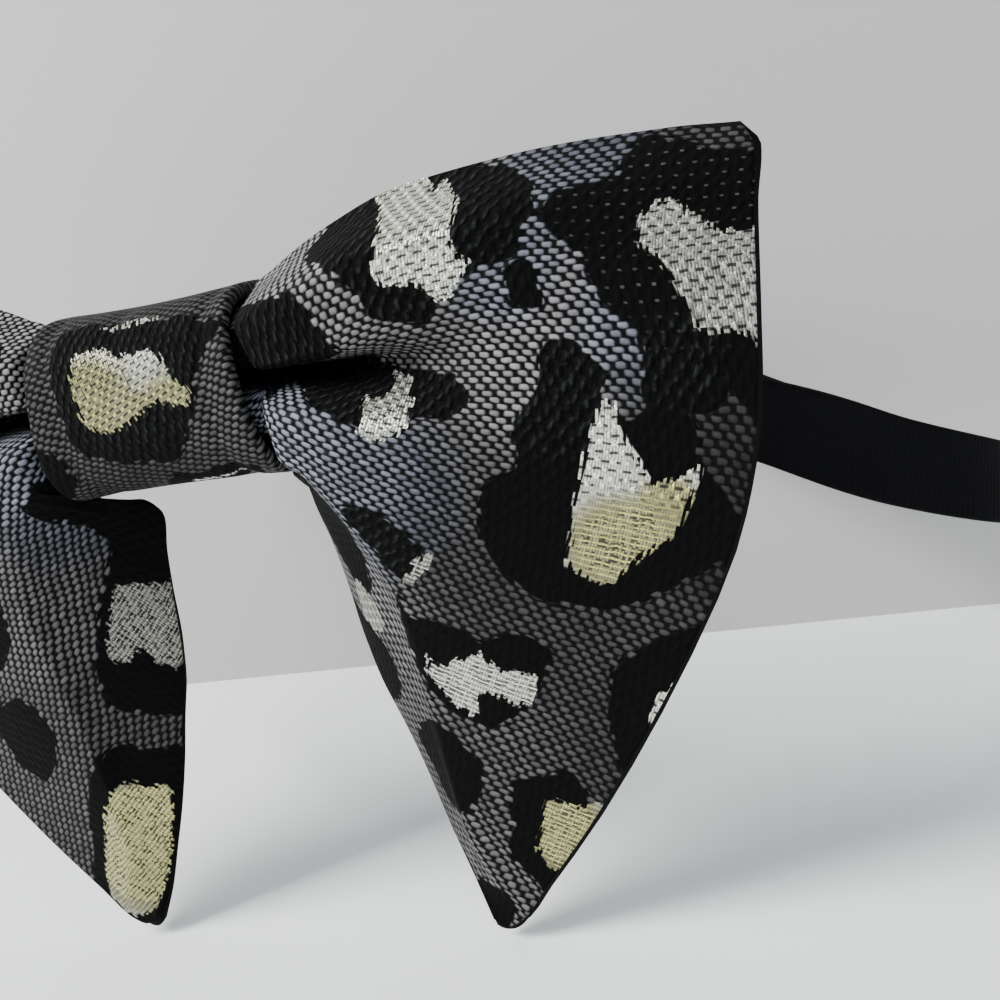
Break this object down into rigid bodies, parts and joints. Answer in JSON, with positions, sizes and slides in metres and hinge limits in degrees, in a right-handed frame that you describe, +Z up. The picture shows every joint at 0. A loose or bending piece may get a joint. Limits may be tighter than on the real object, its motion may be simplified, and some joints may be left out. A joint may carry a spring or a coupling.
{
  "type": "bow tie",
  "caption": "Pre-tied bow tie with two large pointed, pleated wings, a wrapped knot and a closed flat neck strap with a plain clasp.",
  "frame": {"origin": "middle of the knot's back face, where it sits against a collar", "axes": "+X along the bow to the wearer's left, +Z up, -Y out of the front of the bow"},
  "size_m": [0.1529, 0.1171, 0.0808],
  "materials": {
    "wing_cloth": "grey and black jacquard with metallic flecks",
    "knot_cloth": "grey and black jacquard with metallic flecks",
    "strap_band": "matte black woven band",
    "clasp_plastic": "satin black"
  },
  "bodies": {
    "root": {"wing_right": "wing_cloth", "wing_left": "wing_cloth", "knot_band": "knot_cloth", "neck_strap": "strap_band", "strap_clasp": "clasp_plastic"}
  },
  "joints": []
}
